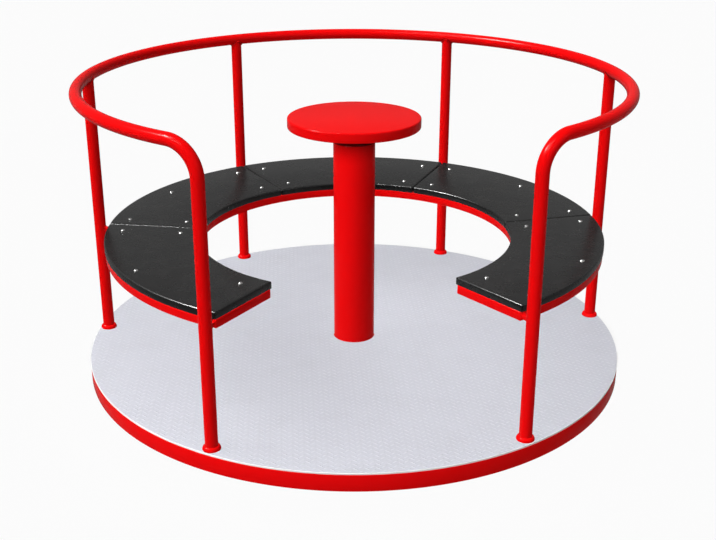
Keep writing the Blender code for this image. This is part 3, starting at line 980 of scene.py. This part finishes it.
def hexNut(radius, height, washer):
    # a nut on its washer with the end of its bolt, hanging down from z = 0
    look = nutLook
    bm = bmesh.new()
    below = look["washerHeight"]
    stub = look["threadHeight"]
    cones = ((look["washerSides"], washer, washer, below, -below / 2),
             (6, radius * look["taper"], radius, height, -below - height / 2),
             (look["threadSides"], radius * look["threadEnd"], radius * look["thread"], stub,
              -below - height - stub / 2))
    for sides, lower, upper, depth, centre in cones:
        bmesh.ops.create_cone(bm, cap_ends=True, segments=sides, radius1=lower, radius2=upper,
                              depth=depth, matrix=Matrix.Translation((0, 0, centre)))
    return bm


def scatter(target, source, matrices):
    # copies of one small mesh are joined into another
    mesh = bpy.data.meshes.new("scatter")
    source.to_mesh(mesh)
    source.free()
    for matrix in matrices:
        before = len(target.verts)
        target.from_mesh(mesh)
        target.verts.ensure_lookup_table()
        bmesh.ops.transform(target, matrix=matrix, verts=target.verts[before:])
    bpy.data.meshes.remove(mesh)


def buildBolts():
    look = boltLook
    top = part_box("seat_back")[1].z
    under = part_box("seat_frame_outer")[1].z - frameLook["wall"]
    spots = [place for _, start, end in boards for place in boltPlaces(start, end)]
    heads = [Matrix.Translation((place.x, place.y, top)) for place in spots]
    bm = bmesh.new()
    scatter(bm, domeHead(look), heads)
    finishPiece(bm, "seat_bolts", "zinc", "platform", material="bolt", sharp=50.0)
    # every nut is turned another way
    nuts = [Matrix.Translation((place.x, place.y, under)) @ Matrix.Rotation(place.x * 30, 4, "Z")
            for place in spots]
    bm = bmesh.new()
    scatter(bm, hexNut(*look["nut"]), nuts)
    finishPiece(bm, "seat_nuts", "zinc", "platform", sharp=30.0)


buildBoards()
buildSeatFrame()
buildLugs()
buildBolts()
print("seat built")


# Fixed post and hand wheel

wheelLook = {"topEdge": 0.0042, "bottomEdge": 0.0032, "steps": 192}
postLook = {"steps": 96, "ringEdge": 0.0012, "axleEdge": 0.0008, "flangeSteps": 128,
            "flangeTopEdge": 0.0015, "flangeBottomEdge": 0.001}
# every weld is a ring: how far out, how far up, and its thickness
postWelds = {"wheel": (0.0008, -0.0006, 0.0020), "boss": (0.0012, -0.0004, 0.0022),
             "flange": (0.0014, 0.0010, 0.0032)}
anchorLook = {"count": 8, "circle": 0.228, "nut": (0.0105, 0.008, 0.016)}


def discCorners(node, topEdge, bottomEdge):
    low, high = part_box(node)
    return [(0.0, high.z, 0.0), (high.x, high.z, topEdge), (high.x, low.z, bottomEdge),
            (0.0, low.z, 0.0)]


def buildFixedPost():
    look = postLook
    corners = discCorners("hand_wheel", wheelLook["topEdge"], wheelLook["bottomEdge"])
    turnedPiece(corners, 6, wheelLook["steps"], "hand_wheel_disc", "red_paint", "ground_post",
                ("hand_wheel",))

    low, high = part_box("wheel_boss")
    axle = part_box("axle_tube")[1].x
    corners = ringCorners(axle + fitGap, high.x, low.z, high.z, look["ringEdge"])
    turnedPiece(corners, 3, look["steps"], "boss_plate", "red_paint", "ground_post",
                ("wheel_boss",))

    bm = bmesh.new()
    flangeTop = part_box("ground_flange")[1].z
    starts = {"wheel": (high.x, high.z), "boss": (axle, low.z), "flange": (axle, flangeTop)}
    for name, (out, up, radius) in postWelds.items():
        across, height = starts[name]
        weldAlong(bm, ringPath(across + out, height + up), radius, closed=True)
    finishPiece(bm, "post_welds", "red_paint", "ground_post")

    corners = discCorners("axle_tube", look["axleEdge"], look["axleEdge"])
    turnedPiece(corners, 2, look["steps"], "axle", "red_paint", "ground_post", ("axle_tube",))

    low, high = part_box("bearing_seat")
    corners = ringCorners(axle + fitGap, high.x, low.z, high.z, look["ringEdge"])
    turnedPiece(corners, 3, look["steps"], "bearing_ring", "zinc", "ground_post",
                ("bearing_seat",))

    corners = discCorners("ground_flange", look["flangeTopEdge"], look["flangeBottomEdge"])
    turnedPiece(corners, 3, look["flangeSteps"], "base_flange", "zinc", "ground_post",
                ("ground_flange",))

    places = []
    flip = Matrix.Rotation(math.pi, 4, "X")
    for index in range(anchorLook["count"]):
        angle = 2 * math.pi * (index + 0.5) / anchorLook["count"]
        places.append(Matrix.Translation(spot(anchorLook["circle"], angle, flangeTop)) @ flip)
    bm = bmesh.new()
    scatter(bm, hexNut(*anchorLook["nut"]), places)
    finishPiece(bm, "anchor_nuts", "zinc", "ground_post", sharp=30.0)


buildFixedPost()
print("fixed post built")


# Stage, light and camera

stageLook = {"size": 120.0, "color": (0.20, 0.20, 0.20, 1.0),
             "seenColor": (0.13, 0.13, 0.13, 1.0), "seenGlow": 0.835,
             "sky": 0.06, "glossySky": 0.19, "seenSky": 0.955}
# azimuth from the front, negative to the left
lights = {
    "key": {"azimuth": -60.0, "elevation": 50.0, "angle": 50.0, "strength": 0.08,
            "shadow": True},
    "wrap": {"azimuth": -61.0, "elevation": 56.0, "angle": 40.0, "strength": 3.42,
             "shadow": False},
    "fill": {"azimuth": 50.0, "elevation": 22.0, "angle": 60.0, "strength": 0.29,
             "shadow": False},
    "under": {"azimuth": -20.0, "elevation": -55.0, "angle": 60.0, "strength": 0.48,
              "shadow": False, "glossy": False},
    "gleam": {"azimuth": -92.0, "elevation": 46.0, "angle": 14.0, "strength": 9.0,
              "shadow": True, "diffuse": False},
}


def buildStage():
    look = stageLook
    bm = bmesh.new()
    bmesh.ops.create_grid(bm, x_segments=1, y_segments=1, size=look["size"] / 2)
    mesh = bpy.data.meshes.new("floor")
    bm.to_mesh(mesh)
    bm.free()
    material, tree, shader = newMaterial("floor", Roughness=0.9, Specular_IOR_Level=0.0,
                                         Emission_Color=white)
    # a backlit sheet: the camera sees its glow, the roundabout only gets its plain bounce
    seen = addNode(tree, "ShaderNodeLightPath").outputs["Is Camera Ray"]
    tree.links.new(mixColors(tree, seen, look["color"], look["seenColor"]),
                   shader.inputs["Base Color"])
    tree.links.new(maths(tree, "MULTIPLY", seen, look["seenGlow"]),
                   shader.inputs["Emission Strength"])
    mesh.materials.append(material)
    floor = bpy.data.objects.new("floor", mesh)
    bpy.context.scene.collection.objects.link(floor)
    world = bpy.data.worlds.new("studio")
    world.use_nodes = True
    tree = world.node_tree
    path = addNode(tree, "ShaderNodeLightPath").outputs
    plain = remap(tree, path["Is Camera Ray"], 0.0, 1.0, look["sky"], look["seenSky"])
    glow = tree.nodes["Background"].inputs
    tree.links.new(remap(tree, path["Is Glossy Ray"], 0.0, 1.0, plain, look["glossySky"]),
                   glow["Strength"])
    glow["Color"].default_value = white
    bpy.context.scene.world = world


def fromFront(azimuth, elevation):
    # a direction, with the azimuth taken from the front
    turn, lift = math.radians(azimuth), math.radians(elevation)
    return Vector((math.sin(turn) * math.cos(lift), -math.cos(turn) * math.cos(lift),
                   math.sin(lift)))


def buildLights():
    for name, look in lights.items():
        lamp = bpy.data.lights.new(name, "SUN")
        lamp.angle = math.radians(look["angle"])
        lamp.energy = look["strength"]
        lamp.use_shadow = look["shadow"]
        if not look["shadow"]:
            # else part of it is shadowed after all
            lamp.cycles.use_multiple_importance_sampling = False
        holder = bpy.data.objects.new(name, lamp)
        aim = fromFront(look["azimuth"], look["elevation"]).to_track_quat("Z", "Y")
        holder.rotation_euler = aim.to_euler()
        holder.visible_diffuse = look.get("diffuse", True)
        holder.visible_glossy = look.get("glossy", True)
        bpy.context.scene.collection.objects.link(holder)


cameraLook = {"azimuth": -3.4909, "elevation": 21.3324, "roll": 0.0414, "distance": 3.1181,
              "aim": 0.3579, "lens": 55.165, "sensor": 36.0, "shiftX": 0.0054, "shiftY": -0.01295}


def buildCamera():
    look = cameraLook
    lens = bpy.data.cameras.new("camera")
    lens.lens = look["lens"]
    lens.sensor_width = look["sensor"]
    lens.shift_x = look["shiftX"]
    lens.shift_y = look["shiftY"]
    holder = bpy.data.objects.new("camera", lens)
    back = fromFront(look["azimuth"], look["elevation"])
    roll = Matrix.Rotation(math.radians(look["roll"]), 4, "Z")
    turn = back.to_track_quat("Z", "Y").to_matrix().to_4x4() @ roll
    place = Vector((0, 0, look["aim"])) + back * look["distance"]
    holder.matrix_world = Matrix.Translation(place) @ turn
    bpy.context.scene.collection.objects.link(holder)
    bpy.context.scene.camera = holder


buildStage()
buildLights()
buildCamera()
bpy.context.scene.view_settings.view_transform = "Standard"
print("stage, light and camera set")
